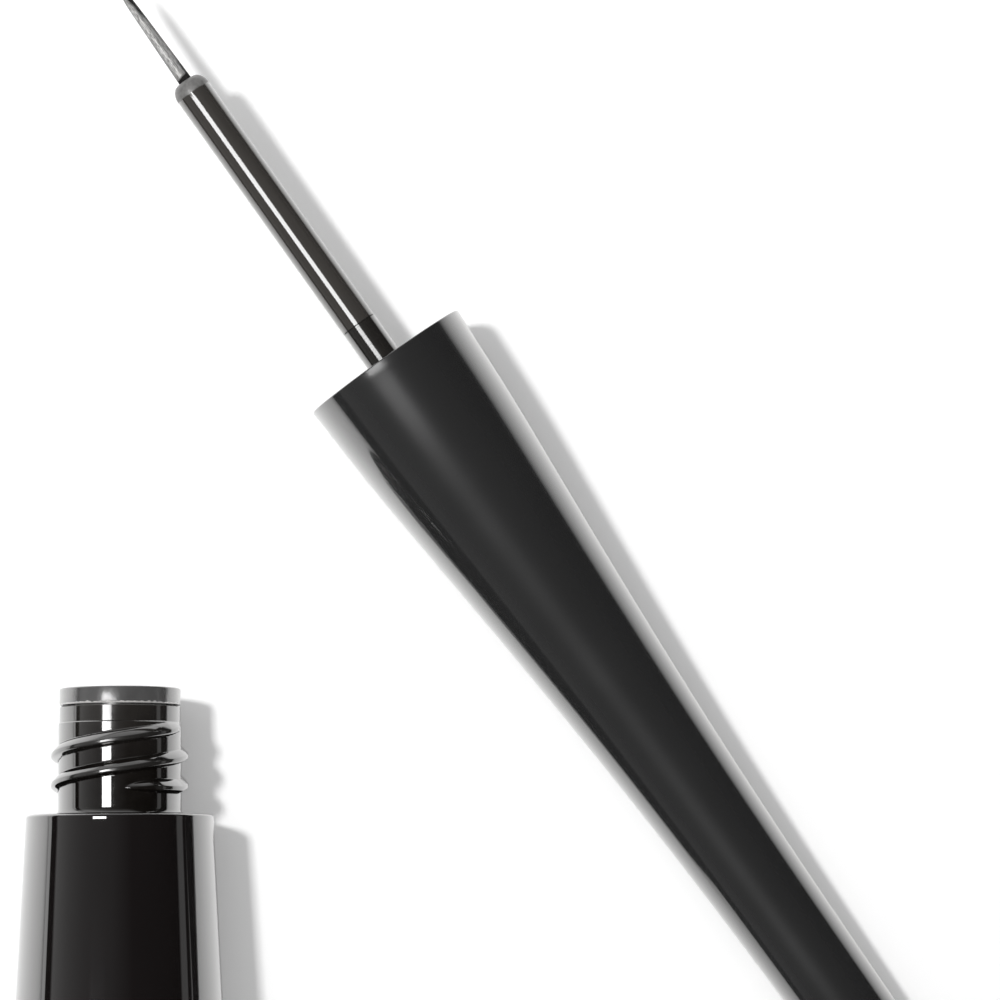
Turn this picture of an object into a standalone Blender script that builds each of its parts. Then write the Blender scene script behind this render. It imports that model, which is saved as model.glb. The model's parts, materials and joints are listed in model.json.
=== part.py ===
"""Liquid eyeliner bottle with its brush wand taken off, both lying on a table.

Units are metres, +Z is up and +Y runs along the bottle towards its mouth.
The bottle lies on its conical side. The wand rests on its collar and on the
end of its handle, at an angle to the bottle.

Each turned piece is drawn in its own upright frame: +Z runs along its axis,
towards the mouth on the bottle and towards the brush on the wand. In that
frame +Y is the side that faces the table once the piece is laid down.
"""
import math

import bmesh
import bpy
from mathutils import Matrix, Vector

MM = 0.001

# Faces round every turned piece. 2 more than a multiple of 4 puts the middle
# of a face, not an edge, on the side that meets the table.
facets = 42
facet_share = math.cos(math.pi / facets)
full_turn = 2.0 * math.pi

# Fits between pieces
press_gap = 0.08 * MM
seat_gap = 0.10 * MM
running_gap = 0.30 * MM
overrun = 1.0 * MM
weld_distance = 0.001 * MM

# Bottle sleeve: the glossy outer shell
body_height = 47.0 * MM
shoulder_radius = 8.47 * MM
body_half_angle = math.radians(3.0)
sleeve_wall = 1.5 * MM
shoulder_edge = 0.35 * MM
base_edge = 0.45 * MM

# Ink vial: the inner bottle with the threaded neck
vial_air_gap = 0.2 * MM
vial_step = 0.4 * MM
vial_wall = 1.2 * MM
vial_floor = 1.4 * MM
vial_top_wall = 1.3 * MM
vial_edge = 0.6 * MM
neck_height = 10.0 * MM
neck_wall = 1.2 * MM
neck_lip_step = 0.1 * MM
neck_lip_height = 1.55 * MM
neck_root_fillet = 0.5 * MM

# Screw thread, right-handed with two starts, on the neck and in the cap
thread_starts = 2
thread_lead = 5.36 * MM
thread_height = 0.65 * MM
thread_bead_radius = 0.42 * MM
thread_turns = 1.24
thread_flat_turns = 0.2
thread_first_angle = math.radians(-90.0)
thread_start_height = 2.5 * MM
thread_clearance = 0.12 * MM
thread_sink = 0.22 * MM
thread_runout_turns = 0.06
thread_end_share = 0.3
thread_point_count = 30

# Base disc
base_disc_thickness = 1.5 * MM
base_ring_wall = 0.9 * MM
base_ring_height = 3.0 * MM

# Wiper
wiper_flange_height = 1.55 * MM
wiper_flange_edge = 0.2 * MM
wiper_tube_length = 8.0 * MM
wiper_wall = 0.55 * MM
wiper_lip_length = 2.6 * MM

# Mixing ball
ball_radius = 1.5 * MM
ball_ink_gap = 0.2 * MM

# Handle: the satin outer shell of the wand
handle_length = 86.0 * MM
tail_radius = 4.0 * MM
collar_wall = 1.2 * MM
handle_wall = 1.1 * MM
tail_wall = 2.0 * MM
collar_edge = 0.25 * MM
tail_edge = 0.9 * MM
# How far the radius still is above the tail's, at even steps from the collar.
flare_shares = (1.0, 0.90, 0.735, 0.563, 0.41, 0.277, 0.176, 0.103, 0.055, 0.02, 0.0)

# Inner cap: the threaded insert in the collar, with its spigot for the stem
cap_inset = 0.3 * MM
cap_wall = 0.45 * MM
cap_head_wall = 0.7 * MM
cap_roof = 1.6 * MM
cap_thread_length = 9.2 * MM
spigot_reach = 4.1 * MM
spigot_bore_radius = 1.05 * MM

# Seal washer
washer_thickness = 0.8 * MM

# Stem
stem_radius = 1.7 * MM
stem_reach = 31.3 * MM
stem_dome_length = 1.25 * MM
peg_length = 9.0 * MM
tuft_bore_depth = 3.0 * MM
seam_groove_width = 0.22 * MM
seam_groove_depth = 0.08 * MM

# Brush tuft
tuft_radius = 0.6 * MM
tuft_length = 12.0 * MM
tuft_side_length = 8.8 * MM
tuft_root_length = 2.2 * MM
tuft_root_rim = 0.05 * MM
strand_count = 320
strand_radius = 0.026 * MM
strand_tip_radius = 0.008 * MM
strand_sides = 3
# Where all the strands' lines would meet, as a share of the tuft's length
tuft_focus_share = 1.6

# How the two pieces lie on the table, from the shoulder to the collar's rim
wand_aside = 24.3 * MM
wand_ahead = 41.2 * MM
wand_bearing = math.radians(35.0)

# Inwards from the shoulder: the vial, its boss, the thread and the neck
base_radius = shoulder_radius + body_height * math.tan(body_half_angle)
vial_radius = shoulder_radius - sleeve_wall - vial_air_gap
boss_radius = vial_radius - vial_step
thread_crest_radius = boss_radius - thread_clearance
neck_radius = thread_crest_radius - thread_height
neck_lip_radius = neck_radius - neck_lip_step
neck_bore_radius = neck_radius - neck_wall
wiper_flange_radius = neck_lip_radius

# Outwards from the thread: the inner cap and the handle's collar round it
cap_bore = thread_crest_radius + thread_clearance
cap_outer = cap_bore + cap_wall
collar_radius = cap_outer + press_gap + collar_wall
peg_radius = spigot_bore_radius - press_gap
closed_gap = running_gap


def start_afresh():
    """Empty the scene and make the two collections."""
    for item in list(bpy.data.objects):
        bpy.data.objects.remove(item, do_unlink=True)
    found = {}
    for name in ("eyeliner_bottle", "cutters"):
        found[name] = bpy.data.collections.new(name)
        bpy.context.scene.collection.children.link(found[name])
    return found


collections = start_afresh()


def frame_empty(name, parent=None):
    """An empty that carries pieces: it is their own upright frame."""
    empty = bpy.data.objects.new(name, None)
    empty.parent = parent
    collections["eyeliner_bottle"].objects.link(empty)
    return empty


def plastic(name, colour, roughness, metallic=0.0):
    """A plain Principled material."""
    made = bpy.data.materials.new(name)
    made.use_nodes = True
    shader = made.node_tree.nodes["Principled BSDF"]
    shader.inputs["Base Color"].default_value = (*colour, 1.0)
    shader.inputs["Roughness"].default_value = roughness
    shader.inputs["Metallic"].default_value = metallic
    return made


def piece_from_mesh(name, mesh, parent, material=None):
    """An object in the part's collection, carried by one of the frames."""
    made = bpy.data.objects.new(name, mesh)
    made.parent = parent
    collections["eyeliner_bottle"].objects.link(made)
    if material:
        mesh.materials.append(material)
    return made


def as_cutter(item):
    """Move an object to the cutters, where it shapes other pieces."""
    collections["eyeliner_bottle"].objects.unlink(item)
    collections["cutters"].objects.link(item)
    item.hide_render = True
    item.display_type = "WIRE"
    return item


def turned(name, outline, parent, material=None, closed=False):
    """Turn an outline of (radius, height) points round +Z.

    An open outline starts and ends on the axis and runs down its outer side.
    A closed one is the section of a ring, down its outer side as well.
    """
    count = len(outline)
    edges = [(at, at + 1) for at in range(count - 1)]
    if closed:
        edges.append((count - 1, 0))
    mesh = bpy.data.meshes.new(name)
    mesh.from_pydata([(radius, 0.0, height) for radius, height in outline], edges, [])
    made = piece_from_mesh(name, mesh, parent, material)
    screw = made.modifiers.new("turn", "SCREW")
    screw.steps = screw.render_steps = facets
    screw.use_merge_vertices = True
    screw.merge_threshold = weld_distance
    screw.use_smooth_shade = True
    return made


def corner_round(centre, radius, start_deg, end_deg, steps=3):
    """Points of a round edge, by angle from the +radius direction."""
    points = []
    for step in range(steps + 1):
        angle = math.radians(start_deg + (end_deg - start_deg) * step / steps)
        points.append((centre[0] + radius * math.cos(angle),
                       centre[1] + radius * math.sin(angle)))
    return points


def boolean(item, tool, operation):
    """Cut or join one object by another."""
    step = item.modifiers.new(operation.lower() + "_" + tool.name, "BOOLEAN")
    step.object = tool
    step.operation = operation


def mesh_from_curve(curve_object):
    """Swap a curve object for a closed mesh with welded caps."""
    bpy.context.view_layer.update()
    evaluated = curve_object.evaluated_get(bpy.context.evaluated_depsgraph_get())
    mesh = bpy.data.meshes.new_from_object(evaluated)
    name, parent = curve_object.name, curve_object.parent
    work = bmesh.new()
    work.from_mesh(mesh)
    bmesh.ops.remove_doubles(work, verts=work.verts, dist=weld_distance)
    bmesh.ops.recalc_face_normals(work, faces=work.faces)
    work.to_mesh(mesh)
    work.free()
    bpy.data.objects.remove(curve_object, do_unlink=True)
    return piece_from_mesh(name, mesh, parent)


def thread_beads(name, parent, crest_middle, wall_middle, start_height, turns, flat_turns=0.0):
    """The helical beads of one thread, one for each start.

    A bead runs level for flat_turns before it climbs, as a thread's lead-in does.
    A bead's middle runs at crest_middle and goes back to wall_middle over the
    run-out at either end, where the bead also thins and so fades into the wall.
    """
    beads = []
    for start in range(thread_starts):
        curve = bpy.data.curves.new(f"{name}_{start}", "CURVE")
        curve.dimensions = "3D"
        curve.bevel_depth = thread_bead_radius
        curve.bevel_resolution = 1
        curve.use_fill_caps = True
        spline = curve.splines.new("POLY")
        spline.points.add(thread_point_count)
        for index, point in enumerate(spline.points):
            turn = turns * index / thread_point_count
            from_end = min(turn, turns - turn)
            fade = min(1.0, from_end / thread_runout_turns)
            reach = wall_middle + (crest_middle - wall_middle) * fade
            angle = thread_first_angle + full_turn * (turn + start / thread_starts)
            height = start_height + thread_lead * max(0.0, turn - flat_turns)
            point.co = (reach * math.cos(angle), reach * math.sin(angle), height, 1.0)
            point.radius = thread_end_share + (1.0 - thread_end_share) * fade
        bead = bpy.data.objects.new(f"{name}_{start}", curve)
        bead.parent = parent
        collections["eyeliner_bottle"].objects.link(bead)
        beads.append(as_cutter(mesh_from_curve(bead)))
    return beads


# Frames: one carries everything, and one each for the bottle and the wand.
assembly = frame_empty("assembly")
bottle = frame_empty("bottle_frame", assembly)
wand = frame_empty("wand_frame", assembly)

gloss_black = plastic("gloss_black_shell", (0.012, 0.012, 0.012), 0.08)
neck_black = plastic("gloss_black_neck", (0.010, 0.009, 0.009), 0.10)
satin_black = plastic("satin_black_handle", (0.018, 0.018, 0.018), 0.42)
stem_brown = plastic("stem_brown_black", (0.045, 0.040, 0.036), 0.14)
wiper_grey = plastic("wiper_grey", (0.10, 0.10, 0.10), 0.45)
washer_white = plastic("washer_foam", (0.72, 0.72, 0.70), 0.8)
cap_black = plastic("cap_moulded_black", (0.02, 0.02, 0.02), 0.35)
ball_steel = plastic("ball_steel", (0.60, 0.60, 0.61), 0.18, 1.0)
bristle_grey = plastic("bristle_grey", (0.42, 0.41, 0.40), 0.5)


def sleeve_outer(height):
    """Outer radius of the sleeve at a height above the base."""
    return shoulder_radius + (body_height - height) * math.tan(body_half_angle)


def make_sleeve():
    """The tapered shell: open below, with a hole for the neck above."""
    hole = boss_radius + press_gap
    roof = body_height - sleeve_wall
    outline = corner_round((shoulder_radius - shoulder_edge, body_height - shoulder_edge),
                           shoulder_edge, 90.0, 0.0)
    outline += corner_round((base_radius - base_edge, base_edge), base_edge, 0.0, -90.0)
    outline += [(sleeve_outer(0.0) - sleeve_wall, 0.0),
                (sleeve_outer(roof) - sleeve_wall, roof),
                (hole, roof),
                (hole, body_height)]
    return turned("bottle_sleeve", outline, bottle, gloss_black, closed=True)


vial_bottom = base_disc_thickness + seat_gap
vial_roof = body_height - sleeve_wall - seat_gap
neck_top = body_height + neck_height
cavity_radius = vial_radius - vial_wall
cavity_floor = vial_bottom + vial_floor
cavity_roof = vial_roof - vial_top_wall


def make_vial():
    """The inner bottle: body, boss in the sleeve's hole, and threaded neck."""
    lip_foot = neck_top - neck_lip_height
    outline = [(neck_lip_radius, neck_top),
               (neck_lip_radius, lip_foot),
               (neck_radius, lip_foot)]
    outline += corner_round((neck_radius + neck_root_fillet, body_height + neck_root_fillet),
                            neck_root_fillet, 180.0, 270.0)
    outline += [(boss_radius, body_height),
                (boss_radius, vial_roof),
                (vial_radius, vial_roof)]
    outline += corner_round((vial_radius - vial_edge, vial_bottom + vial_edge), vial_edge, 0.0, -90.0)
    outline += [(0.0, vial_bottom)]
    inner = [(neck_bore_radius, neck_top + overrun),
             (neck_bore_radius, cavity_roof),
             (cavity_radius, cavity_roof),
             (cavity_radius, cavity_floor),
             (0.0, cavity_floor)]
    vial = turned("ink_vial", [(0.0, neck_top)] + outline, bottle, neck_black)
    bore = as_cutter(turned("vial_bore", [(0.0, neck_top + overrun)] + inner, bottle))
    crest_middle = thread_crest_radius - thread_bead_radius
    wall_middle = neck_radius - thread_sink
    for bead in thread_beads("neck_thread", bottle, crest_middle, wall_middle,
                             body_height + thread_start_height, thread_turns, thread_flat_turns):
        boolean(vial, bead, "UNION")
    boolean(vial, bore, "DIFFERENCE")
    return vial


def make_base_disc():
    """The plate that closes the sleeve, with the ring that centres the vial."""
    def edge(height):
        return sleeve_outer(height) - sleeve_wall - press_gap
    ring_inner = vial_radius + seat_gap
    ring_outer = ring_inner + base_ring_wall
    outline = [(0.0, base_disc_thickness),
               (ring_inner, base_disc_thickness),
               (ring_inner, base_disc_thickness + base_ring_height),
               (ring_outer, base_disc_thickness + base_ring_height),
               (ring_outer, base_disc_thickness),
               (edge(base_disc_thickness), base_disc_thickness),
               (edge(0.0), 0.0),
               (0.0, 0.0)]
    return turned("base_disc", outline, bottle, gloss_black)


wiper_top = neck_top + seat_gap + wiper_flange_height
wiper_foot = neck_top - wiper_tube_length
orifice_radius = stem_radius + seat_gap
mouth_radius = neck_bore_radius - press_gap - wiper_wall


def make_wiper():
    """Flange on the neck's rim, tube in the neck, and a lip round the stem."""
    tube = neck_bore_radius - press_gap
    flange_foot = neck_top + seat_gap
    outline = corner_round((wiper_flange_radius - wiper_flange_edge, wiper_top - wiper_flange_edge),
                           wiper_flange_edge, 90.0, 0.0)
    outline += [(wiper_flange_radius, flange_foot),
                (tube, flange_foot),
                (tube, wiper_foot + wiper_lip_length),
                (orifice_radius + wiper_wall, wiper_foot),
                (orifice_radius, wiper_foot),
                (mouth_radius, wiper_foot + wiper_lip_length),
                (mouth_radius, wiper_top)]
    return turned("wiper", outline, bottle, wiper_grey, closed=True)


ball_drop = cavity_radius * facet_share - ball_radius - ball_ink_gap
ball_rest_height = cavity_roof - running_gap - ball_radius
ball_travel = ball_rest_height - (cavity_floor + running_gap + ball_radius)


def make_ball():
    """The loose ball, on the low side of the vial, by the neck."""
    mesh = bpy.data.meshes.new("mixing_ball")
    work = bmesh.new()
    bmesh.ops.create_uvsphere(work, u_segments=20, v_segments=12, radius=ball_radius)
    work.to_mesh(mesh)
    work.free()
    mesh.shade_smooth()
    ball = piece_from_mesh("mixing_ball", mesh, bottle, ball_steel)
    ball.location = (0.0, ball_drop, ball_rest_height)
    return ball


def handle_outer(depth):
    """Outer radius of the handle at a distance from the collar's rim."""
    place = depth / handle_length * (len(flare_shares) - 1)
    station = min(int(place), len(flare_shares) - 2)
    share = flare_shares[station]
    share += (flare_shares[station + 1] - share) * (place - station)
    return tail_radius + (collar_radius - tail_radius) * share


cap_head_bore = wiper_flange_radius + thread_clearance
cap_head_outer = cap_head_bore + cap_head_wall
wiper_top_above_shoulder = wiper_top - body_height
washer_face = wiper_top_above_shoulder - closed_gap
cap_ceiling = washer_face + washer_thickness + seat_gap
cap_top = cap_ceiling + cap_roof


def make_handle():
    """The flared shell: a stepped socket for the inner cap, then a long bore."""
    socket = cap_outer + press_gap
    head_socket = cap_head_outer + press_gap
    step = cap_inset + cap_thread_length + cap_head_wall
    socket_end = cap_top + seat_gap
    stations = len(flare_shares) - 1
    spacing = handle_length / stations
    outline = [(0.0, 0.0)]
    outline += corner_round((collar_radius - collar_edge, -collar_edge), collar_edge, 90.0, 0.0)
    for station in range(1, stations):
        outline.append((handle_outer(station * spacing), -station * spacing))
    outline += corner_round((tail_radius - tail_edge, tail_edge - handle_length),
                            tail_edge, 0.0, -90.0)
    outline.append((0.0, -handle_length))
    handle = turned("handle", outline, wand, satin_black)

    bore = [(0.0, overrun), (socket, overrun), (socket, -step), (head_socket, -step),
            (head_socket, -socket_end)]
    bore_end = handle_length - tail_wall
    for station in range(stations + 1):
        depth = station * spacing
        if socket_end < depth < bore_end:
            bore.append((handle_outer(depth) - handle_wall, -depth))
    bore += [(handle_outer(bore_end) - handle_wall, -bore_end), (0.0, -bore_end)]
    boolean(handle, as_cutter(turned("handle_bore", bore, wand)), "DIFFERENCE")
    return handle


def make_inner_cap():
    """Threaded insert with a roof and a central spigot for the stem's peg."""
    step = cap_inset + cap_thread_length
    outline = [(cap_outer, -cap_inset),
               (cap_outer, -step - cap_head_wall),
               (cap_head_outer, -step - cap_head_wall),
               (cap_head_outer, -cap_top),
               (spigot_bore_radius, -cap_top),
               (spigot_bore_radius, spigot_reach),
               (stem_radius, spigot_reach),
               (stem_radius, -cap_ceiling),
               (cap_head_bore, -cap_ceiling),
               (cap_head_bore, -step),
               (cap_bore, -step),
               (cap_bore, -cap_inset)]
    cap = turned("inner_cap", outline, wand, cap_black, closed=True)
    crest_middle = neck_radius + thread_clearance + thread_bead_radius
    wall_middle = cap_bore + cap_wall / 2.0
    half_pitch = thread_lead / thread_starts / 2.0
    turns = (cap_thread_length - thread_start_height) / thread_lead - thread_runout_turns
    for bead in thread_beads("cap_thread", wand, crest_middle, wall_middle,
                             -(step - half_pitch / 2.0), turns):
        boolean(cap, bead, "UNION")
    return cap


def make_washer():
    """Soft ring at the top of the inner cap, round the spigot."""
    inner = stem_radius + seat_gap
    outer = cap_head_bore - press_gap
    outline = [(outer, -washer_face),
               (outer, -washer_face - washer_thickness),
               (inner, -washer_face - washer_thickness),
               (inner, -washer_face)]
    return turned("seal_washer", outline, wand, washer_white, closed=True)


tuft_bore = tuft_radius + tuft_root_rim + seat_gap


def make_stem():
    """Rod with a peg for the spigot, a fine seam groove and a domed end."""
    foot = spigot_reach + seat_gap
    dome_foot = stem_reach - stem_dome_length
    outline = [(0.0, stem_reach), (tuft_bore + seat_gap, stem_reach)]
    dome_run = stem_radius - tuft_bore - seat_gap
    dome_steps = 6
    for step in range(1, dome_steps + 1):
        angle = math.pi / 2.0 * (1.0 - step / dome_steps)
        outline.append((tuft_bore + seat_gap + dome_run * math.cos(angle),
                        dome_foot + stem_dome_length * math.sin(angle)))
    groove = foot + seam_groove_width
    outline += [(stem_radius, groove + seam_groove_width),
                (stem_radius - seam_groove_depth, groove),
                (stem_radius, foot + seam_groove_depth),
                (stem_radius - seam_groove_depth, foot),
                (peg_radius, foot),
                (peg_radius, foot - peg_length),
                (0.0, foot - peg_length)]
    stem = turned("stem", outline, wand, stem_brown)
    bore = [(0.0, stem_reach + overrun), (tuft_bore, stem_reach + overrun),
            (tuft_bore, stem_reach - tuft_bore_depth), (0.0, stem_reach - tuft_bore_depth)]
    boolean(stem, as_cutter(turned("stem_bore", bore, wand)), "DIFFERENCE")
    return stem


def make_tuft():
    """Fine bristles fused into a short root, drawn in towards the point.

    The roots lie on a sunflower spiral, evenly over the disc. Every strand
    leans towards one far point on the axis, so that none crosses another.
    """
    root = [(0.0, stem_reach), (tuft_radius + tuft_root_rim, stem_reach),
            (tuft_radius + tuft_root_rim, stem_reach - tuft_root_length),
            (0.0, stem_reach - tuft_root_length)]
    tuft = turned("brush_tuft", root, wand, bristle_grey)
    focus = Vector((0.0, 0.0, stem_reach + tuft_length * tuft_focus_share))
    golden = math.pi * (3.0 - math.sqrt(5.0))
    work = bmesh.new()
    for index in range(strand_count):
        share = math.sqrt((index + 0.5) / strand_count)
        reach = tuft_radius * share
        angle = golden * index
        foot = Vector((reach * math.cos(angle), reach * math.sin(angle), stem_reach))
        lean = (focus - foot).normalized()
        length = tuft_length + (tuft_side_length - tuft_length) * share
        sunk = tuft_root_length / 2.0
        turn = lean.to_track_quat("Z", "X").to_matrix().to_4x4()
        middle = foot + lean * (length - sunk) / 2.0
        bmesh.ops.create_cone(work, cap_ends=True, segments=strand_sides,
                              radius1=strand_radius, radius2=strand_tip_radius,
                              depth=length + sunk, matrix=Matrix.Translation(middle) @ turn)
    mesh = bpy.data.meshes.new("strands")
    work.to_mesh(mesh)
    work.free()
    strands = as_cutter(piece_from_mesh("strands", mesh, wand))
    boolean(tuft, strands, "UNION")
    return tuft


def lay_down():
    """Lay both pieces on the table and centre the whole on the origin."""
    base_drop = base_radius * facet_share
    dip = math.atan((base_radius - shoulder_radius) * facet_share / body_height)
    bottle.rotation_euler = (-(math.pi / 2.0 + dip), 0.0, 0.0)
    bottle.location = (0.0, 0.0, base_drop * math.cos(dip))

    rim_drop = collar_radius * facet_share
    tail_drop = tail_radius * facet_share
    span = handle_length - tail_edge - collar_edge
    rise = math.atan((rim_drop - tail_drop) / span)
    wand.rotation_euler = (-(math.pi / 2.0 - rise), 0.0, wand_bearing)
    height = rim_drop * math.cos(rise) + collar_edge * math.sin(rise)
    shoulder_ahead = body_height * math.cos(dip)
    wand.location = (wand_aside, shoulder_ahead + wand_ahead, height)

    bpy.context.view_layer.update()
    graph = bpy.context.evaluated_depsgraph_get()
    corners = []
    for item in collections["eyeliner_bottle"].objects:
        if item.type == "MESH":
            seen = item.evaluated_get(graph)
            corners += [seen.matrix_world @ vertex.co for vertex in seen.data.vertices]
    low = Vector(min(corner[axis] for corner in corners) for axis in range(3))
    high = Vector(max(corner[axis] for corner in corners) for axis in range(3))
    assembly.location = (-(low.x + high.x) / 2.0, -(low.y + high.y) / 2.0, -low.z)


make_sleeve()
make_vial()
make_base_disc()
make_wiper()
make_ball()
make_handle()
make_inner_cap()
make_washer()
make_stem()
make_tuft()
lay_down()
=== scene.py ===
"""Liquid eyeliner bottle with its brush wand taken off: its looks, on a white table.

Both halves lie on the table as the frame holds them. Each turned piece is drawn
upright on its own axis, with +Z towards the bottle's mouth or the brush's point
and +Y on the side that faces the table, and is then laid on the frame's axis.
"""
import json
import math
import random

import bmesh
import bpy
from mathutils import Matrix, Vector


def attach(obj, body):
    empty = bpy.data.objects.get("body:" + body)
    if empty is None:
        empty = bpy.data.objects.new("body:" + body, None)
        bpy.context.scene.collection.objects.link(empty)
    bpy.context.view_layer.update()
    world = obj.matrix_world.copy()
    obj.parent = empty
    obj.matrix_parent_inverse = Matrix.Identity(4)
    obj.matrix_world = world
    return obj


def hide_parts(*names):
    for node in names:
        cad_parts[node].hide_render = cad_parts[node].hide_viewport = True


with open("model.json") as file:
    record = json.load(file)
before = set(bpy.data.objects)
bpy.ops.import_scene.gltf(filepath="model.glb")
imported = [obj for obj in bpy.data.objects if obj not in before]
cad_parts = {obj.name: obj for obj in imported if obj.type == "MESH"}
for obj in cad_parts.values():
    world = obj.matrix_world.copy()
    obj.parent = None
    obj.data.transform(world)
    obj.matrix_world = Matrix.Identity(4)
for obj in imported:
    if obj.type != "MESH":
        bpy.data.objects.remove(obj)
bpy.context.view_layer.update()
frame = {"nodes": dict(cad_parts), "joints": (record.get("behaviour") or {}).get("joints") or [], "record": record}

# Bottle sleeve: the outer shell, injection moulded in black plastic and mirror
# smooth. It is a slow cone, widest at the base, with a small round at the shoulder.
MM = 0.001
mounts = {mount["name"]: mount for mount in frame["record"]["mounts"]}
frame_facets = 42
facet_share = math.cos(math.pi / frame_facets)

body_height = 47.0 * MM
shoulder_radius = 8.47 * MM
body_slope = math.tan(math.radians(3.0))
sleeve_wall = 1.5 * MM
sleeve_top = body_height + 0.25 * MM
shoulder_round = 0.7 * MM
shoulder_edge = 0.3 * MM
base_edge = 0.45 * MM
neck_hole_radius = 6.45 * MM
band_height = 0.62 * MM
band_reach = 0.03 * MM
round_steps = 10


def upright_on(place, axis):
    """The matrix that lays an upright piece on an axis, with its +Y side to the table."""
    along = Vector(axis).normalized()
    down = Vector((0.0, 0.0, -1.0))
    down = (down - along * down.dot(along)).normalized()
    return Matrix.Translation(place) @ Matrix((down.cross(along), down, along)).transposed().to_4x4()


def arc(centre, radius, start_deg, end_deg, steps=8):
    """Points of a round edge, by angle from the +radius direction."""
    angles = [math.radians(start_deg + (end_deg - start_deg) * step / steps) for step in range(steps + 1)]
    return [(centre[0] + radius * math.cos(angle), centre[1] + radius * math.sin(angle)) for angle in angles]


def straight(start, end, steps):
    """Points on a straight stretch of an outline, its first end left out."""
    return [(start[0] + (end[0] - start[0]) * step / steps,
             start[1] + (end[1] - start[1]) * step / steps) for step in range(1, steps + 1)]


def turned(name, outline, place, ring=True, sharp_deg=32.0, ripple=None, steps=168):
    """Turn an outline of (radius, height) points round +Z.

    The frame's solids have flats, so the radii shrink to lie inside them. ripple
    takes an angle, a radius and a height and gives what a thread adds there.
    """
    mesh = bpy.data.meshes.new(name)
    work = bmesh.new()
    rings = []
    for radius, height in outline:
        if radius == 0.0:
            rings.append([work.verts.new((0.0, 0.0, height))])
            continue
        loop = []
        for step in range(steps):
            angle = 2.0 * math.pi * step / steps
            reach = (radius + (ripple(angle, radius, height) if ripple else 0.0)) * facet_share
            loop.append(work.verts.new((reach * math.cos(angle), reach * math.sin(angle), height)))
        rings.append(loop)
    pairs = list(zip(rings, rings[1:]))
    if ring:
        pairs.append((rings[-1], rings[0]))
    for upper, lower in pairs:
        if len(upper) == len(lower) == 1:
            continue
        for step in range(steps):
            after = (step + 1) % steps
            corners = [upper[step % len(upper)], lower[step % len(lower)],
                       lower[after % len(lower)], upper[after % len(upper)]]
            work.faces.new(list(dict.fromkeys(corners)))
    bmesh.ops.recalc_face_normals(work, faces=work.faces)
    work.to_mesh(mesh)
    work.free()
    mesh.shade_smooth()
    mesh.set_sharp_from_angle(angle=math.radians(sharp_deg))
    return laid(name, mesh, place)


def laid(name, mesh, place):
    """Lay an upright mesh in its place. Its points keep their upright places for the grain."""
    upright = [part for vert in mesh.vertices for part in vert.co]
    mesh.attributes.new("upright", "FLOAT_VECTOR", "POINT").data.foreach_set("vector", upright)
    mesh.transform(place)
    made = bpy.data.objects.new(name, mesh)
    bpy.context.scene.collection.objects.link(made)
    return made


class Wire:
    """A socket of a node tree. Arithmetic on it adds Math nodes, and node() any other."""

    def __init__(self, tree, socket=None):
        self.tree = tree
        self.socket = socket

    def node(self, kind, settings=None, sockets=None, output=0):
        """Add a node: its settings first, then its sockets' values or links."""
        made = self.tree.nodes.new(kind)
        for key, value in (settings or {}).items():
            if key == "stops":
                stops = made.color_ramp.elements
                while len(stops) < len(value):
                    stops.new(1.0)
                for stop, (place, shade) in zip(stops, value):
                    stop.position = place
                    stop.color = (shade, shade, shade, 1.0)
            else:
                setattr(made, key, value)
        for key, value in (sockets or {}).items():
            if isinstance(value, Wire):
                self.tree.links.new(value.socket, made.inputs[key])
            else:
                made.inputs[key].default_value = value
        return Wire(self.tree, made.outputs[output] if made.outputs else None)

    def maths(self, operation, first, second):
        return self.node("ShaderNodeMath", {"operation": operation}, {0: first, 1: second})

    def __add__(self, other):
        return self.maths("ADD", self, other)

    def __radd__(self, other):
        return self.maths("ADD", other, self)

    def __sub__(self, other):
        return self.maths("SUBTRACT", self, other)

    def __rsub__(self, other):
        return self.maths("SUBTRACT", other, self)

    def __mul__(self, other):
        return self.maths("MULTIPLY", self, other)

    def __rmul__(self, other):
        return self.maths("MULTIPLY", other, self)

    def __pow__(self, other):
        return self.maths("POWER", self, other)

    def ramp(self, *stops):
        """A ramp through (place, value) stops."""
        return self.node("ShaderNodeValToRGB", {"stops": stops}, {"Fac": self}, "Color")

    def upright(self, part=None):
        """A point's place on the upright piece, or one part of it: X, Y or Z."""
        place = self.node("ShaderNodeAttribute", {"attribute_name": "upright"}, None, "Vector")
        return place.node("ShaderNodeSeparateXYZ", None, {0: place}, part) if part else place

    def noise(self, scale, detail=3.0, stretch=(1.0, 1.0, 1.0)):
        """Noise over the upright piece, in waves to the metre."""
        place = self.upright()
        place = self.node("ShaderNodeMapping", None, {"Vector": place, "Scale": stretch})
        return self.node("ShaderNodeTexNoise", None, {"Vector": place, "Scale": scale, "Detail": detail})

    def bump(self, height, depth):
        """A Bump node of a true depth in metres."""
        return self.node("ShaderNodeBump", None, {"Height": height, "Distance": depth}, "Normal")

    def between(self, share, first, second):
        """A colour between two."""
        return self.node("ShaderNodeMix", {"data_type": "RGBA"}, {0: share, 6: first, 7: second}, 2)

    def polish(self, power, most, roughness, normal, matt=None):
        """A plastic under a mirror sheen that grows towards the rim of a round piece. matt takes it off."""
        facing = self.node("ShaderNodeLayerWeight", {}, {"Blend": 0.5}, "Facing")
        mirror = self.node("ShaderNodeBsdfPrincipled", None,
                           {"Base Color": (0.93, 0.925, 0.92, 1.0), "Metallic": 1.0,
                            "Roughness": roughness, "Normal": normal})
        share = facing ** power * most + facing ** 9.0 * (0.97 - most)
        if matt:
            share = share * (1.0 - matt)
        return self.node("ShaderNodeMixShader", None, {0: share, 1: self, 2: mirror})


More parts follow.
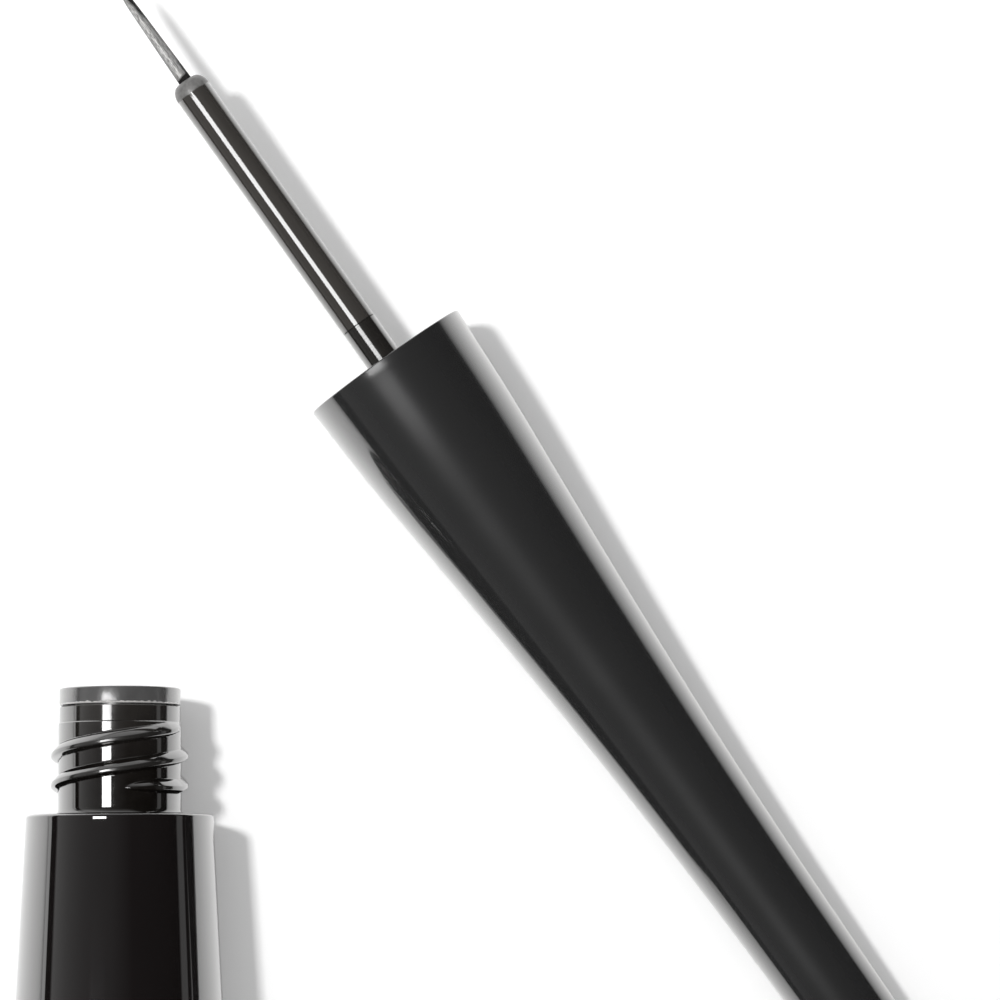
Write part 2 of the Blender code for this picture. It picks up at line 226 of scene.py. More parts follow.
def finish(name, wire_up):
    """A material whose surface is what wire_up makes from a fresh wire."""
    made = bpy.data.materials.new(name)
    made.use_nodes = True
    made.node_tree.nodes.clear()
    wire = Wire(made.node_tree)
    wire.node("ShaderNodeOutputMaterial", None, {"Surface": wire_up(wire)})
    return made


def dress(piece, material, slot, body, *nodes):
    """Give a piece its material, set it on its body, and retire the nodes it stands for. slot is not used."""
    piece.data.materials.clear()
    piece.data.materials.append(material)
    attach(piece, body)
    if nodes:
        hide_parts(*nodes)


def shell_look(wire):
    """Deep black, mirror smooth, with the faint waviness and handling marks of real plastic."""
    waves = wire.noise(90.0, 1.0, (1.0, 1.0, 0.15))
    marks = wire.noise(700.0, 5.0)
    smears = wire.noise(160.0, 2.0, (1.0, 1.0, 0.4))
    normal = wire.bump(waves, 0.006 * MM)
    body = wire.node("ShaderNodeBsdfPrincipled", None,
                     {"Base Color": wire.between(smears, (0.0074, 0.0062, 0.0062, 1.0),
                                                 (0.0106, 0.0089, 0.0089, 1.0)),
                      "Roughness": 0.02 + marks * 0.02 + smears * 0.015,
                      "Normal": normal})
    return body.polish(1.25, 0.76, 0.03, normal)


base_mount = mounts["bottle_base"]
bottle_place = upright_on(base_mount["pos_m"], [-part for part in base_mount["axis"]])
base_radius = shoulder_radius + body_height * body_slope
shell_gloss = finish("shell_gloss", shell_look)

# The shell stands out by a hair in a band under its shoulder, then runs straight down.
band_foot = sleeve_top - band_height
outline = []
for step in range(round_steps + 1):
    angle = math.pi / 2.0 * (1.0 - step / round_steps)
    outline.append((shoulder_radius + band_reach - shoulder_round * (1.0 - math.cos(angle)),
                    sleeve_top - shoulder_edge * (1.0 - math.sin(angle))))
outline += straight(outline[-1], (shoulder_radius + band_reach, band_foot), 3)
outline += straight(outline[-1], (base_radius, base_edge), 60)
outline += arc((base_radius - base_edge, base_edge), base_edge, 3.0, -90.0)[1:]
outline += [(base_radius - sleeve_wall, 0.0),
            (shoulder_radius - sleeve_wall + sleeve_wall * body_slope, body_height - sleeve_wall),
            (neck_hole_radius, body_height - sleeve_wall),
            (neck_hole_radius, sleeve_top)]
sleeve = turned("sleeve_shell", outline, bottle_place)
dress(sleeve, shell_gloss, "gloss_black_shell", "bottle", "bottle_sleeve")

# Ink vial: the inner bottle that holds the liquid, blow moulded with a moulded
# neck. Its right-handed two-start thread is part of the neck and fades at its ends.
vial_bottom = 1.6 * MM
vial_roof = body_height - 1.6 * MM
vial_radius = 6.77 * MM
vial_wall = 1.2 * MM
vial_edge = 0.6 * MM
boss_radius = 6.37 * MM
neck_radius = 5.6 * MM
neck_top = body_height + 10.0 * MM
lip_radius = 5.5 * MM
lip_foot = neck_top - 1.55 * MM
lip_bevel = 0.08 * MM
lip_undercut = 0.1 * MM
neck_bore = 4.4 * MM
root_fillet = 0.75 * MM

thread_starts = 2
thread_start_height = 2.5 * MM
thread_lead = 5.36 * MM
thread_rise = 0.65 * MM
thread_above = 0.84 * MM
thread_below = 0.46 * MM
thread_above_power = 1.1
thread_below_power = 2.2
thread_crest_share = 0.17
thread_crown_power = 0.85
thread_fade_power = 0.8
thread_turns = 1.21
thread_flat_turns = 0.17
thread_fade_turns = 0.09
thread_first_angle = math.radians(-79.0)


def thread_reach(angle, height, start_height, turns, flat_turns):
    """How much of the thread's full height stands at a place on the wall, from 0 to 1.

    Its side towards +Z slants evenly, and its other side is round and steep.
    """
    most = 0.0
    for start in range(thread_starts):
        turn = (angle - thread_first_angle) / (2.0 * math.pi) - start / thread_starts
        turn -= math.floor(turn)
        while turn <= turns:
            middle = start_height + thread_lead * max(0.0, turn - flat_turns)
            fade = max(1e-6, min(1.0, min(turn, turns - turn) / thread_fade_turns))
            if height > middle:
                reach, power = thread_above, thread_above_power
            else:
                reach, power = thread_below, thread_below_power
            across = min(1.0, abs(height - middle) / (reach * math.sqrt(fade)))
            flank = max(0.0, across - thread_crest_share) / (1.0 - thread_crest_share)
            most = max(most, (1.0 - flank ** power) ** thread_crown_power * fade ** thread_fade_power)
            turn += 1.0
    return most


def neck_ripple(angle, radius, height):
    """The thread on the outside of the neck."""
    if abs(radius - neck_radius) > 1e-9:
        return 0.0
    start_height = body_height + thread_start_height
    return thread_rise * thread_reach(angle, height, start_height, thread_turns, thread_flat_turns)


def neck_look(wire):
    """Black with a touch of brown, mirror smooth, filmed towards the mouth and duller on the crests."""
    marks = wire.noise(900.0, 4.0)
    up_neck = (wire.upright("Z") - body_height) * (1.0 / (neck_top - body_height))
    rim_film = up_neck.ramp((0.45, 0.0), (0.95, 1.0))
    film = (rim_film * 0.8 + marks * 0.5 - 0.2).ramp((0.0, 0.0), (0.8, 1.0))
    reach = (wire.upright("X") ** 2.0 + wire.upright("Y") ** 2.0) ** 0.5
    worn = ((reach - neck_radius) * (1.0 / thread_rise) + marks * 0.3 - 0.15).ramp((0.80, 0.0), (0.96, 1.0))
    normal = wire.bump(wire.noise(300.0, 2.0), 0.004 * MM)
    black = wire.between(film, (0.0065, 0.0055, 0.0048, 1.0), (0.021, 0.019, 0.0175, 1.0))
    body = wire.node("ShaderNodeBsdfPrincipled", None,
                     {"Base Color": wire.between(worn, black, (0.020, 0.019, 0.018, 1.0)),
                      "Roughness": 0.04 + marks * 0.03 + film * 0.06 + worn * 0.12,
                      "Normal": normal})
    return body.polish(1.25, 0.76, 0.035, normal)


outline = [(lip_radius - lip_bevel, neck_top), (lip_radius, neck_top - lip_bevel),
           (lip_radius, neck_top - lip_bevel * 2.0), (lip_radius, lip_foot + lip_undercut + lip_bevel),
           (lip_radius, lip_foot + lip_undercut), (neck_radius, lip_foot)]
outline += straight((neck_radius, lip_foot), (neck_radius, body_height + root_fillet), 170)
outline += arc((neck_radius + root_fillet, body_height + root_fillet), root_fillet, 180.0, 270.0)[1:]
outline += [(boss_radius, body_height), (boss_radius, vial_roof), (vial_radius, vial_roof)]
outline += arc((vial_radius - vial_edge, vial_bottom + vial_edge), vial_edge, 0.0, -90.0)
outline += [(0.0, vial_bottom), (0.0, vial_bottom + vial_wall),
            (vial_radius - vial_wall, vial_bottom + vial_wall),
            (vial_radius - vial_wall, vial_roof - vial_wall),
            (neck_bore, vial_roof - vial_wall), (neck_bore, neck_top)]
vial = turned("vial_and_neck", outline, bottle_place, ripple=neck_ripple, sharp_deg=40.0, steps=252)
neck_gloss = finish("neck_gloss", neck_look)
dress(vial, neck_gloss, "gloss_black_neck", "bottle", "ink_vial")

# Base disc: the plate pressed into the bottom of the sleeve. It has a shallow
# dished middle, a ring that the moulding tool leaves, and a ring that holds the vial.
press_gap = 0.08 * MM
disc_radius = base_radius - sleeve_wall - press_gap
disc_thickness = 1.5 * MM
disc_bevel = 0.15 * MM
dish_radius = 6.4 * MM
dish_depth = 0.35 * MM
gate_radius = 0.7 * MM
gate_depth = 0.15 * MM
vial_ring_inner = 6.87 * MM
vial_ring_outer = 7.77 * MM
vial_ring_top = 4.5 * MM

outline = [(0.0, disc_thickness), (vial_ring_inner, disc_thickness), (vial_ring_inner, vial_ring_top),
           (vial_ring_outer, vial_ring_top), (vial_ring_outer, disc_thickness),
           (disc_radius - disc_thickness * body_slope, disc_thickness),
           (disc_radius, disc_bevel), (disc_radius - disc_bevel, 0.0)]
outline += arc((dish_radius + dish_depth, dish_depth), dish_depth, 270.0, 180.0, 5)
outline += [(gate_radius + gate_depth, dish_depth), (gate_radius, dish_depth + gate_depth),
            (0.0, dish_depth + gate_depth)]
disc = turned("base_plate", outline, bottle_place, ring=False)
dress(disc, shell_gloss, "gloss_black_shell", "bottle", "base_disc")

# Wiper: a soft plastic insert pushed into the neck. Its flange is the grey band at
# the mouth, filmed with liquid, and its lip strips the stem as the wand comes out.
flange_foot = neck_top + 0.1 * MM
flange_top = flange_foot + 1.55 * MM
flange_round = 0.16 * MM
glint_line_height = 0.42 * MM
tube_radius = 4.32 * MM
tube_wall = 0.55 * MM
lip_start = 51.6 * MM
lip_end = 49.0 * MM
lip_bore = 1.8 * MM


def wiper_look(wire):
    """Charcoal grey, smeared with a film, with a pale beaded line of painted glints along the flange's foot."""
    film = wire.noise(420.0, 4.0, (1.0, 1.0, 0.5))
    grain = wire.noise(3200.0, 3.0)
    glint_beads = wire.noise(2300.0, 2.0, (1.0, 1.0, 0.6))
    foot = ((wire.upright("Z") - flange_foot) * (1.0 / glint_line_height)).ramp((0.0, 1.0), (1.0, 0.0))
    # A pale beaded line of painted glints along the flange's foot.
    painted_glints = (foot + glint_beads * 0.9 - 0.62).ramp((0.35, 0.0), (0.50, 1.0))
    normal = wire.bump(film + grain * 0.4 + painted_glints, 0.035 * MM)
    smeared = wire.between(film, (0.036, 0.035, 0.035, 1.0), (0.125, 0.124, 0.124, 1.0))
    body = wire.node("ShaderNodeBsdfPrincipled", None,
                     {"Base Color": wire.between(painted_glints, smeared, (0.50, 0.49, 0.48, 1.0)),
                      "Roughness": 0.17 + grain * 0.14,
                      "Normal": normal})
    return body.polish(1.3, 0.8, 0.16, normal)


outline = arc((lip_radius - flange_round, flange_top - flange_round), flange_round, 90.0, 0.0, 5)
outline += arc((lip_radius - flange_round, flange_foot + flange_round), flange_round, 0.0, -60.0, 4)
outline += [(tube_radius, flange_foot), (tube_radius, lip_start),
            (lip_bore + tube_wall, lip_end), (lip_bore, lip_end),
            (tube_radius - tube_wall, lip_start), (tube_radius - tube_wall, flange_top - flange_round)]
outline += arc((tube_radius - tube_wall + flange_round, flange_top - flange_round), flange_round,
               180.0, 90.0, 5)[1:]
wiper = turned("wiper_insert", outline, bottle_place)
wiper_film = finish("wiper_film", wiper_look)
dress(wiper, wiper_film, "wiper_grey", "bottle", "wiper")


# Mixing ball: polished stainless steel, loose in the vial, where it stirs the
# liquid when the bottle is shaken. Its node keeps its shape.
def ball_look(wire):
    """Bright steel with the fine haze that tumbling leaves."""
    haze = wire.noise(1500.0, 4.0)
    return wire.node("ShaderNodeBsdfPrincipled", None,
                     {"Base Color": (0.60, 0.60, 0.61, 1.0), "Metallic": 1.0,
                      "Roughness": 0.12 + haze * 0.12})


ball = frame["nodes"]["mixing_ball"]
ball.data.materials.clear()
ball.data.materials.append(finish("ball_steel", ball_look))

# Handle: the outer shell of the wand, and the bottle's cap when closed. Black
# plastic under a satin coating, flared like a trumpet from a slim end to the collar.
turn_joint = next(joint for joint in frame["joints"] if joint["name"] == "wand_turn")
wand_place = upright_on(turn_joint["pos_m"], turn_joint["axis"])
handle_length = 86.0 * MM
collar_radius = 8.1 * MM
tail_radius = 4.0 * MM
collar_edge = 0.12 * MM
tail_edge = 0.9 * MM
socket_radius = 6.9 * MM
socket_depth = 13.9 * MM
socket_step = 0.5 * MM
socket_step_depth = 10.2 * MM
flare_steps = 86
# How far the radius still is above the tail's, at even steps from the collar.
flare_shares = (1.0, 0.90, 0.735, 0.563, 0.41, 0.277, 0.176, 0.103, 0.055, 0.02, 0.0)


def handle_radius(depth):
    """Radius of the handle at a depth from the collar's rim, smooth through the shares."""
    place = min(depth / handle_length, 1.0) * (len(flare_shares) - 1)
    station = min(int(place), len(flare_shares) - 2)
    share = place - station
    here, there = flare_shares[station], flare_shares[station + 1]
    before = flare_shares[station - 1] if station else 2.0 * here - there
    beyond = flare_shares[min(station + 2, len(flare_shares) - 1)]
    slope_here = (there - before) / 2.0
    slope_there = (beyond - here) / 2.0
    curve = (here + share * (slope_here + share * (3.0 * (there - here) - 2.0 * slope_here - slope_there
             + share * (2.0 * (here - there) + slope_here + slope_there))))
    return tail_radius + (collar_radius - tail_radius) * curve


def handle_look(wire):
    """Satin black: a fine even grain, cloudy wear, and a sheen that sharpens at the rim."""
    grain = wire.noise(5200.0, 2.0)
    clouds = wire.noise(130.0, 3.0)
    normal = wire.bump(grain, 0.001 * MM)
    body = wire.node("ShaderNodeBsdfPrincipled", None,
                     {"Base Color": wire.between(clouds * 0.5 + grain * 0.5, (0.0205, 0.0205, 0.0207, 1.0),
                                                 (0.0265, 0.0265, 0.0268, 1.0)),
                      "Roughness": 0.21 + clouds * 0.07, "Specular IOR Level": 0.28,
                      "Normal": normal})
    return body.polish(1.35, 0.86, 0.08, normal)


outline = arc((collar_radius - collar_edge, -collar_edge), collar_edge, 90.0, 2.0, 6)
outline += [(handle_radius(handle_length * step / flare_steps), -handle_length * step / flare_steps)
            for step in range(1, flare_steps)]
outline += arc((tail_radius - tail_edge, tail_edge - handle_length), tail_edge, 0.0, -90.0)
outline += [(0.0, -handle_length), (0.0, -socket_depth), (socket_radius - socket_step, -socket_depth),
            (socket_radius - socket_step, -socket_step_depth), (socket_radius, -socket_step_depth),
            (socket_radius, -collar_edge), (socket_radius + collar_edge, 0.0)]
handle = turned("handle_shell", outline, wand_place)
satin_black = finish("satin_black", handle_look)
dress(handle, satin_black, "satin_black_handle", "wand", "handle")

# Inner cap: a moulded insert in the collar's socket. Its inner thread takes the
# bottle's neck, and its middle spigot, of the stem's size, holds the stem's peg.
cap_rim = -0.3 * MM
cap_bore = 6.37 * MM
cap_outer = 6.82 * MM
cap_step = -9.5 * MM
cap_step_wall = 0.7 * MM
cap_lead_in = 0.1 * MM
cap_thread_start = 1.34 * MM
cap_thread_turns = 1.19
cap_head_bore = 5.62 * MM
cap_head_outer = 6.32 * MM
cap_ceiling = -12.25 * MM
cap_top = -13.85 * MM
spigot_radius = 1.7 * MM
spigot_bore = 1.05 * MM
spigot_end = 4.1 * MM
spigot_edge = 0.035 * MM
spigot_recess = 0.02 * MM


def cap_ripple(angle, radius, height):
    """The thread on the inside of the cap, which stands inwards."""
    if abs(radius - cap_bore) > 1e-9:
        return 0.0
    return -thread_rise * thread_reach(angle, height, cap_step + cap_thread_start, cap_thread_turns, 0.0)


def cap_look(wire):
    """Plain glossy black as it comes from the mould, with fine wear rings."""
    rings = wire.noise(500.0, 3.0, (0.2, 0.2, 8.0))
    normal = wire.bump(rings, 0.004 * MM)
    body = wire.node("ShaderNodeBsdfPrincipled", None,
                     {"Base Color": wire.between(rings, (0.016, 0.015, 0.014, 1.0),
                                                 (0.026, 0.024, 0.022, 1.0)),
                      "Roughness": 0.09 + rings * 0.06,
                      "Normal": normal})
    return body.polish(1.4, 0.9, 0.06, normal)


outline = [(cap_outer, cap_rim), (cap_outer, cap_step - cap_step_wall),
           (cap_head_outer, cap_step - cap_step_wall), (cap_head_outer, cap_top),
           (spigot_bore, cap_top), (spigot_bore, spigot_end - spigot_recess),
           (spigot_radius - spigot_edge, spigot_end), (spigot_radius, spigot_end - spigot_edge),
           (spigot_radius, spigot_end - spigot_edge * 2.0)]
outline += straight(outline[-1], (spigot_radius, cap_ceiling), 20)
outline += [(cap_head_bore, cap_ceiling), (cap_head_bore, cap_step), (cap_bore, cap_step)]
outline += straight((cap_bore, cap_step), (cap_bore, cap_rim - cap_lead_in), 90)
outline += [(cap_bore + cap_lead_in, cap_rim)]
cap = turned("cap_insert", outline, wand_place, ripple=cap_ripple, sharp_deg=40.0)
cap_black = finish("cap_black", cap_look)
dress(cap, cap_black, "cap_moulded_black", "wand", "inner_cap")


# Seal washer: a ring punched from white foamed liner, loose at the top of the
# inner cap, where it presses on the wiper's flange when the bottle is closed.
washer_outer = 5.54 * MM
washer_inner = 1.8 * MM
washer_face = -11.35 * MM
washer_back = -12.15 * MM
washer_round = 0.1 * MM


def washer_look(wire):
    """Off-white closed foam with open cells and a grey print where the rim has pressed."""
    cells = wire.node("ShaderNodeTexVoronoi", None, {"Scale": 3500.0}, "Distance")
    dark_marks = wire.noise(350.0, 3.0)
    return wire.node("ShaderNodeBsdfPrincipled", None,
                     {"Base Color": wire.between(dark_marks, (0.62, 0.61, 0.59, 1.0), (0.76, 0.76, 0.74, 1.0)),
                      "Roughness": 0.85,
                      "Normal": wire.bump(cells, 0.05 * MM)})


outline = arc((washer_outer - washer_round, washer_face - washer_round), washer_round, 90.0, 0.0, 4)
outline += arc((washer_outer - washer_round, washer_back + washer_round), washer_round, 0.0, -90.0, 4)
outline += [(washer_inner, washer_back), (washer_inner, washer_face)]
washer = turned("washer_ring", outline, wand_place)
dress(washer, finish("washer_foam", washer_look), "washer_foam", "washer", "seal_washer")

# Stem: a thin rod of brown-black plastic, polished, pressed into the spigot by a
# peg. A fine groove marks the joint, and its end is rounded down to the brush.
stem_radius = 1.7 * MM
seam_gap = 0.03 * MM
stem_foot = spigot_end + seam_gap
stem_end = 31.3 * MM
dome_length = 1.25 * MM
dome_end_radius = 0.85 * MM
dome_steps = 12
seam_edge = 0.035 * MM
peg_radius = 0.97 * MM
peg_length = 9.0 * MM
brush_bore = 0.75 * MM
brush_bore_depth = 3.0 * MM


def stem_look(wire):
    """Brown-black gloss, streaked lengthwise by the wiper; its rough end is painted grey, a reflection of the
    table.
    """
    streaks = wire.noise(1300.0, 3.0, (1.0, 1.0, 0.04))
    normal = wire.bump(streaks, 0.004 * MM)
    edge = wire.noise(1500.0, 2.0) * 0.25 * MM
    up_dome = (wire.upright("Z") + edge - (stem_end - dome_length)) * (1.0 / dome_length)
    # The rounded end: a painted reflection of the white table in mottled grey, its mirror sheen mostly taken off.
    dull_painted_dome = up_dome.ramp((0.02, 0.0), (0.12, 1.0))
    streaked = wire.between(streaks, (0.037, 0.034, 0.031, 1.0), (0.060, 0.056, 0.052, 1.0))
    mottled_reflection = wire.between(wire.noise(2600.0, 3.0), (0.075, 0.073, 0.071, 1.0), (0.24, 0.237, 0.232, 1.0))
    body = wire.node("ShaderNodeBsdfPrincipled", None,
                     {"Base Color": wire.between(dull_painted_dome, streaked, mottled_reflection),
                      "Roughness": 0.05 + streaks * 0.05 + dull_painted_dome * 0.35,
                      "Normal": normal})
    return body.polish(1.4, 0.72, 0.05, normal, dull_painted_dome * 0.8)


outline = [(0.0, stem_foot - peg_length), (peg_radius, stem_foot - peg_length), (peg_radius, stem_foot),
           (stem_radius - seam_edge, stem_foot), (stem_radius, stem_foot + seam_edge),
           (stem_radius, stem_foot + seam_edge * 2.0)]
outline += straight(outline[-1], (stem_radius, stem_end - dome_length), 30)
for step in range(1, dome_steps + 1):
    angle = math.pi / 2.0 * step / dome_steps
    outline.append((dome_end_radius + (stem_radius - dome_end_radius) * math.cos(angle),
                    stem_end - dome_length + dome_length * math.sin(angle)))
outline += [(brush_bore, stem_end), (brush_bore, stem_end - brush_bore_depth),
            (0.0, stem_end - brush_bore_depth)]
stem = turned("stem_rod", outline, wand_place, ring=False)
stem_gloss = finish("stem_gloss", stem_look)
dress(stem, stem_gloss, "stem_brown_black", "wand", "stem")

# Brush tuft: several hundred fine pale nylon bristles, bound at the root and drawn
# to a point. Liquid has stained the root and the point dark, and shade is painted along one side.
tuft_radius = 0.65 * MM
tuft_length = 12.0 * MM
tuft_side_length = 9.8 * MM
tuft_focus_share = 2.1
bristle_count = 620
bristle_radius = 0.021 * MM
bristle_rings = 9
bristle_sides = 5
bristle_sway = 0.018 * MM
bristle_taper = 0.7
ragged_share = 0.06
pinch_from = 0.7
pinch_rate = 1.6
root_sunk = 0.8 * MM
root_power = 6
wet_root = 1.65
wet_root_fall = 16.0
side_shade = 0.68
wet_point_from = 0.42
wet_point_rise = 1.3
chance = random.Random(7)


def tuft_look(wire):
    """Pale bristles, each its own grey, with a painted highlight off the middle, painted shade at the edges and +X
    side, and ink stains.
    """
    strand = wire.node("ShaderNodeAttribute", {"attribute_name": "strand_grey"}, None, "Fac")
    ink_shade_share = wire.node("ShaderNodeAttribute", {"attribute_name": "wetness"}, None, "Fac")
    patch = wire.noise(1100.0, 2.0, (1.0, 1.0, 0.35))
    clump = wire.noise(9000.0, 3.0, (1.0, 1.0, 0.22)).ramp((0.36, 0.0), (0.58, 1.0))
    # Dark ink stains at the root and point, and painted shade along the +X side.
    dark_marks = (ink_shade_share + patch * 0.5 - 0.25).ramp((0.35, 0.0), (0.55, 1.0))
    side = wire.upright("X") * (0.5 / tuft_radius) + 0.5
    # A painted highlight in a streak off the middle, with painted shade towards both edges.
    painted_highlight_and_shade = side.ramp((0.10, 0.20), (0.32, 1.0), (0.44, 1.0), (0.58, 0.42), (1.0, 0.15))
    pale = wire.between((strand * 0.35 + clump * 0.65) * painted_highlight_and_shade,
                        (0.155, 0.153, 0.150, 1.0), (0.97, 0.96, 0.95, 1.0))
    return wire.node("ShaderNodeBsdfPrincipled", None,
                     {"Base Color": wire.between(dark_marks, pale, (0.022, 0.021, 0.021, 1.0)),
                      "Roughness": 0.42 - dark_marks * 0.2})


mesh = bpy.data.meshes.new("bristles")
work = bmesh.new()
greys = []
ink_and_side_shades = []
for index in range(bristle_count):
    rooted = math.sqrt((index + 0.5) / bristle_count)
    angle = math.pi * (3.0 - math.sqrt(5.0)) * index
    reach = (tuft_length + (tuft_side_length - tuft_length) * rooted) / tuft_length
    reach -= ragged_share * chance.random()
    grey = chance.random()
    thin = 0.8 + 0.4 * chance.random()
    sway = bristle_sway * chance.uniform(-1.0, 1.0)
    before = None
    for ring in range(bristle_rings + 1):
        along = ring / bristle_rings
        share = reach * along
        spread = (tuft_radius - bristle_radius) * rooted * (1.0 - share / tuft_focus_share)
        spread *= 1.0 - max(0.0, share - pinch_from) * pinch_rate
        height = stem_end - root_sunk * (1.0 - along) ** root_power + tuft_length * share
        bend = sway * math.sin(math.pi * along)
        centre = Vector((spread * math.cos(angle) - bend * math.sin(angle),
                         spread * math.sin(angle) + bend * math.cos(angle), height))
        width = bristle_radius * thin * (1.0 - bristle_taper * along ** 2)
        # Ink at the root and more and more towards the point, and painted shade along the +X side, away from the
        # key light.
        across = centre.x / tuft_radius
        wetness = max(wet_root - wet_root_fall * share,
                      across * side_shade + max(0.0, share - wet_point_from) * wet_point_rise)
        loop = []
        for side in range(bristle_sides):
            turn = 2.0 * math.pi * side / bristle_sides + angle
            loop.append(work.verts.new(centre + Vector((math.cos(turn), math.sin(turn), 0.0)) * width))
            greys.append(grey)
            ink_and_side_shades.append(wetness)
        if before:
            for side in range(bristle_sides):
                after = (side + 1) % bristle_sides
                work.faces.new((before[side], before[after], loop[after], loop[side]))
        else:
            work.faces.new(list(reversed(loop)))
        before = loop
    work.faces.new(before)
work.to_mesh(mesh)
work.free()
mesh.shade_smooth()
for name, values in (("strand_grey", greys), ("wetness", ink_and_side_shades)):
    mesh.attributes.new(name, "FLOAT", "POINT").data.foreach_set("value", values)
tuft = laid("bristle_tuft", mesh, wand_place)
dress(tuft, finish("bristle_nylon", tuft_look), "bristle_grey", "wand", "brush_tuft")

# Table: plain matt white. It shows white to the camera and in the glosses, and
# keeps the shadows of both halves.
table_half = 1.5
# In the glosses the table dims from this place beside the wand, this way, over this reach.
dim_from = (-0.0085, 0.0267)
dim_way = (0.818, 0.573)
dim_reach = 0.16
table_mesh = bpy.data.meshes.new("white_table")
corners = [(-table_half, -table_half, 0.0), (table_half, -table_half, 0.0),
           (table_half, table_half, 0.0), (-table_half, table_half, 0.0)]
table_mesh.from_pydata(corners, [], [(0, 1, 2, 3)])
table = bpy.data.objects.new("white_table", table_mesh)
bpy.context.scene.collection.objects.link(table)


def table_look(wire):
    """Matt white, with a little more light where it is seen directly.

    In the glosses it dims beyond the wand, and is dark when a gloss shows in a gloss.
    """
    matt = wire.node("ShaderNodeBsdfDiffuse", None, {"Color": (0.90, 0.90, 0.90, 1.0)})
    lift = wire.node("ShaderNodeEmission", None, {"Color": (1.0, 1.0, 1.0, 1.0), "Strength": 0.20})
    dark = wire.node("ShaderNodeBsdfDiffuse", None, {"Color": (0.02, 0.02, 0.02, 1.0)})
    place = wire.node("ShaderNodeTexCoord", None, None, "Object")
    sideways = place.node("ShaderNodeSeparateXYZ", None, {0: place}, "X")
    upwards = place.node("ShaderNodeSeparateXYZ", None, {0: place}, "Y")
    beyond = (sideways - dim_from[0]) * dim_way[0] + (upwards - dim_from[1]) * dim_way[1]
    dimmed = (beyond * (1.0 / dim_reach)).ramp((0.08, 0.0), (0.35, 0.38), (0.65, 0.75), (1.0, 1.0))
    glossy = wire.node("ShaderNodeLightPath", None, None, "Is Glossy Ray")
    camera = wire.node("ShaderNodeLightPath", None, None, "Is Camera Ray")
    depth = wire.node("ShaderNodeLightPath", None, None, "Glossy Depth")
    second = depth.maths("GREATER_THAN", depth, 1.5)
    whole = wire.node("ShaderNodeAddShader", None, {0: matt, 1: lift})
    seen = wire.node("ShaderNodeMixShader", None, {0: camera + glossy * 0.6, 1: matt, 2: whole})
    darkened = dimmed.maths("MAXIMUM", dimmed, second) * glossy
    return wire.node("ShaderNodeMixShader", None, {0: darkened, 1: seen, 2: dark})


table_mesh.materials.append(finish("table_white", table_look))

# Studio light: a near key from the upper left that throws the shadows, two narrow
# boxes that draw the bright lines on the glosses, and an even fill.
focus = Vector((-0.01, 0.0, 0.0))


def soft_box(name, toward, distance, width_way, width, height, radiance, seen_in_gloss):
    """A box light that faces the object, its width along width_way. Both sizes are for one metre away."""
    light = bpy.data.lights.new(name, "AREA")
    light.shape = "RECTANGLE"
    light.size = width * distance
    light.size_y = height * distance
    light.energy = radiance * math.pi * light.size * light.size_y
    box = bpy.data.objects.new(name, light)
    way = Vector(toward).normalized()
    box.location = focus + way * distance
    wide = Vector(width_way)
    wide = (wide - way * wide.dot(way)).normalized()
    box.rotation_euler = Matrix((wide, way.cross(wide), way)).transposed().to_euler()
    box.visible_glossy = seen_in_gloss
    box.visible_diffuse = not seen_in_gloss
    bpy.context.scene.collection.objects.link(box)


wand_axis = tuple(turn_joint["axis"])
bottle_axis = (0.0, 1.0, 0.0)
soft_box("key_light", (-0.295, 0.172, 0.940), 0.3725, bottle_axis, 0.085, 0.085, 268.0, False)
soft_box("wide_light", (-0.22, 0.16, 0.96), 3.0, bottle_axis, 0.8, 0.8, 1.0, False)
soft_box("neck_box", (-0.324, 0.0415, 0.945), 3.0, bottle_axis, 0.118, 0.285, 38.0, True)
soft_box("stem_box", (-0.238, -0.106, 0.965), 3.0, wand_axis, 0.13, 0.44, 20.0, True)

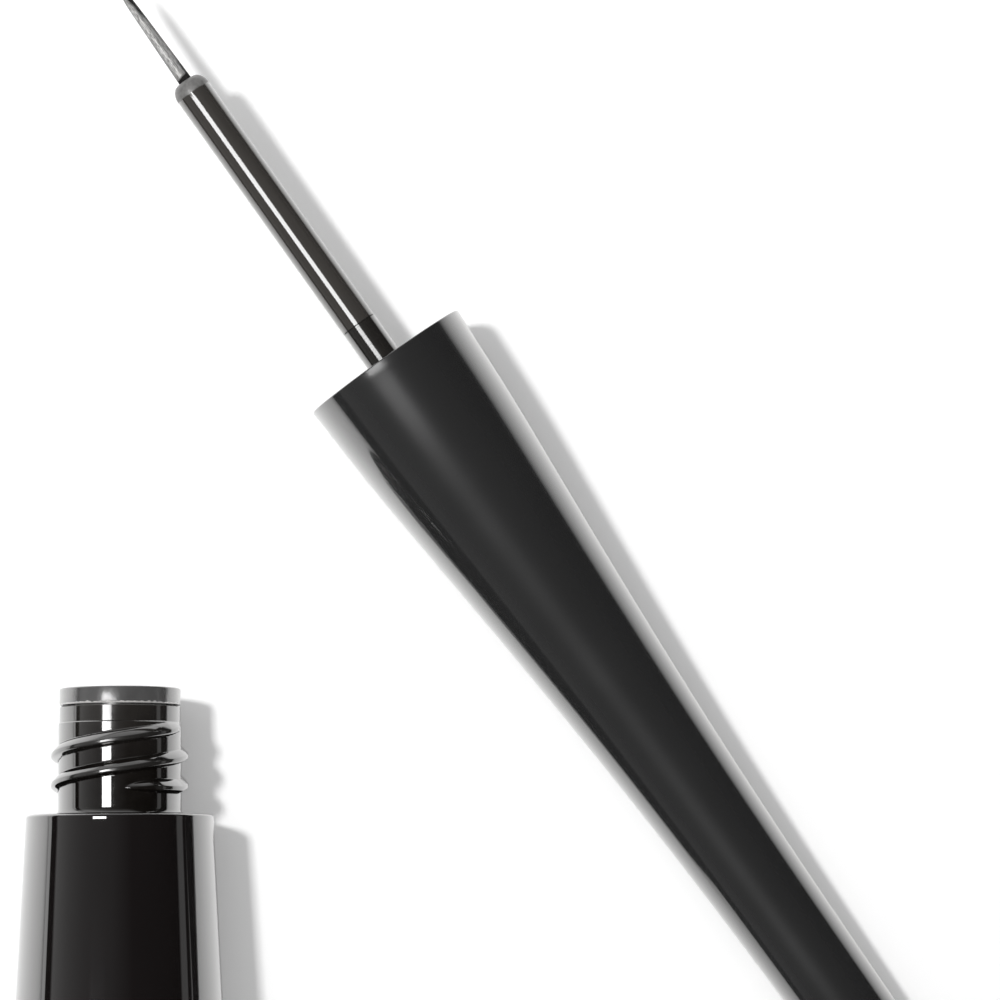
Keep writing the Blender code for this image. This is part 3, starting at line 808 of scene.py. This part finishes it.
# The walls are seen only in the first gloss. Everything else gets an even fill,
# and the camera sees plain white.
world = bpy.data.worlds.new("studio")
world.use_nodes = True
world.node_tree.nodes.clear()
wire = Wire(world.node_tree)
way = wire.node("ShaderNodeTexCoord", None, None, "Generated")
sideways = wire.node("ShaderNodeSeparateXYZ", None, {0: way}, "X")
upwards = wire.node("ShaderNodeSeparateXYZ", None, {0: way}, "Z")
across = wire.node("ShaderNodeSeparateXYZ", None, {0: way}, "Y")
leftward = (0.5 - sideways).ramp((0.15, 0.0), (0.55, 1.0))
level_wall = (across * 0.5 + 0.5).ramp((0.30, 0.42), (0.42, 1.0))
left_wall = (upwards.ramp((0.0, 0.0), (0.21, 0.0), (0.26, 0.34), (0.55, 0.27), (1.0, 0.20))
             * leftward * level_wall)
bottle_side = (across * 0.5 + 0.5).ramp((0.30, 0.0), (0.36, 1.0), (0.62, 1.0), (0.70, 0.0))
left_sheet = upwards.ramp((0.0, 0.9), (0.068, 0.9), (0.085, 0.0)) * leftward * bottle_side
right_wall = (upwards.ramp((0.0, 0.0), (0.03, 0.25), (0.15, 0.27), (0.19, 0.0))
              * sideways.ramp((0.3, 0.0), (0.6, 1.0)) * bottle_side)
far_wall = (upwards.ramp((0.0, 0.7), (0.35, 0.5), (0.75, 0.2), (0.9, 0.0))
            * across.ramp((0.35, 0.0), (0.6, 1.0)) * (0.5 - sideways * 0.5).ramp((0.25, 0.0), (0.35, 1.0)))
path_glossy = wire.node("ShaderNodeLightPath", None, None, "Is Glossy Ray")
path_camera = wire.node("ShaderNodeLightPath", None, None, "Is Camera Ray")
depth = wire.node("ShaderNodeLightPath", None, None, "Glossy Depth")
first_gloss = path_glossy * wire.maths("LESS_THAN", depth, 1.5)
level = 0.30 * (1.0 - path_glossy) + (left_wall + left_sheet + right_wall + far_wall) * first_gloss
level = level * (1.0 - path_camera) + path_camera
backdrop = wire.node("ShaderNodeBackground", None, {"Color": (1.0, 1.0, 1.0, 1.0), "Strength": level})
wire.node("ShaderNodeOutputWorld", None, {"Surface": backdrop})
bpy.context.scene.world = world

# Camera: straight above the table but for a slight lean, with a long lens. Its
# place, lean and focal length were fitted to points on the photograph's edges.
camera_data = bpy.data.cameras.new("overhead")
camera_data.sensor_width = 36.0
focal_share = 4.3217
camera_data.lens = camera_data.sensor_width * focal_share
camera_data.clip_end = 10.0
camera = bpy.data.objects.new("overhead", camera_data)
camera.location = (10.356 * MM, -4.508 * MM, 400.0 * MM)
camera.rotation_euler = (0.0469, 0.0220, -0.0079)
bpy.context.scene.collection.objects.link(camera)
bpy.context.scene.camera = camera
bpy.context.scene.view_settings.view_transform = "Standard"

bpy.context.view_layer.update()
